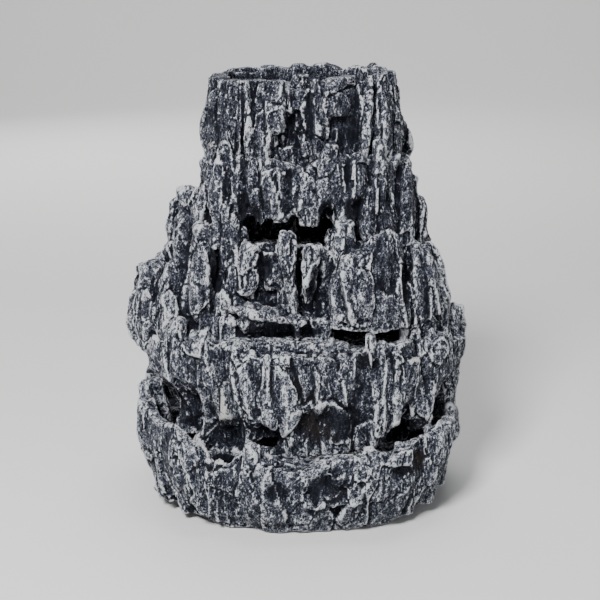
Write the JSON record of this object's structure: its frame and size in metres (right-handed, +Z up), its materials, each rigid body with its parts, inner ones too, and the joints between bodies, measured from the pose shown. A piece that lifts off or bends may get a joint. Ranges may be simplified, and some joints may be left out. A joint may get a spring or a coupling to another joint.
{
  "type": "tiered rock cascade ornament",
  "caption": "Tiered charcoal resin rock cave ornament with catch pools, two caves, a basin, a rear hatch and a pump that lifts water to the summit bowl.",
  "frame": {"origin": "centre of the bounding box, on the surface the ornament stands on", "axes": "+Z up, -Y towards the viewer, +X to the viewer's right"},
  "size_m": [0.226, 0.1842, 0.3],
  "materials": {
    "resin_rock": "matt charcoal resin, dry-brushed white on the ridges",
    "pad_rubber": "soft black rubber",
    "pump_plastic": "fine-grained black plastic",
    "dial_plastic": "satin dark grey plastic",
    "potting_resin": "self-levelled black epoxy",
    "lamination_steel": "stacked laminations",
    "bobbin_plastic": "natural nylon",
    "copper_wire": "enamelled copper winding",
    "bush_rubber": "moulded rubber",
    "shaft_ceramic": "ground ceramic",
    "magnet": "sintered ferrite",
    "impeller_plastic": "white moulded plastic",
    "clear_hose": "milky soft vinyl",
    "clip_steel": "stainless spring steel"
  },
  "bodies": {
    "ornament": {"basin_casting": "resin_rock", "lower_rock": "resin_rock", "middle_rock": "resin_rock", "upper_rock": "resin_rock", "summit_rock": "resin_rock", "foot_pads": "pad_rubber", "cable_grommet": "pad_rubber", "suction_feet": "pad_rubber", "nozzle_o_ring": "pad_rubber", "cable_gland": "pad_rubber", "pump_housing": "pump_plastic", "impeller_cover": "pump_plastic", "outlet_nozzle": "pump_plastic", "motor_seal": "potting_resin", "stator_core": "lamination_steel", "coil_bobbin": "bobbin_plastic", "coil_winding": "copper_wire", "rear_shaft_bush": "bush_rubber", "front_shaft_bush": "bush_rubber", "rotor_shaft": "shaft_ceramic", "riser_hose": "clear_hose", "hose_clip": "clip_steel", "top_spout": "dial_plastic"},
    "rear_hatch": {"rear_hatch": "resin_rock"},
    "rotor": {"rotor_magnet": "magnet", "impeller": "impeller_plastic"},
    "strainer": {"strainer_cover": "pump_plastic"},
    "dial": {"flow_dial": "dial_plastic"}
  },
  "joints": [
    {"name": "hatch_pull", "type": "slide", "parent": "ornament", "child": "rear_hatch", "axis": [0, 1, 0], "range_m": [0, 0.06]},
    {"name": "rotor_spin", "type": "hinge", "parent": "ornament", "child": "rotor", "pos_m": [0, 0, 0.029], "axis": [0, 1, 0], "continuous": true},
    {"name": "strainer_pull", "type": "slide", "parent": "ornament", "child": "strainer", "axis": [0, 1, 0], "range_m": [0, 0.018]},
    {"name": "dial_turn", "type": "hinge", "parent": "strainer", "child": "dial", "pos_m": [0, 0.038, 0.029], "axis": [0, 1, 0], "range_deg": [0, 60]}
  ]
}
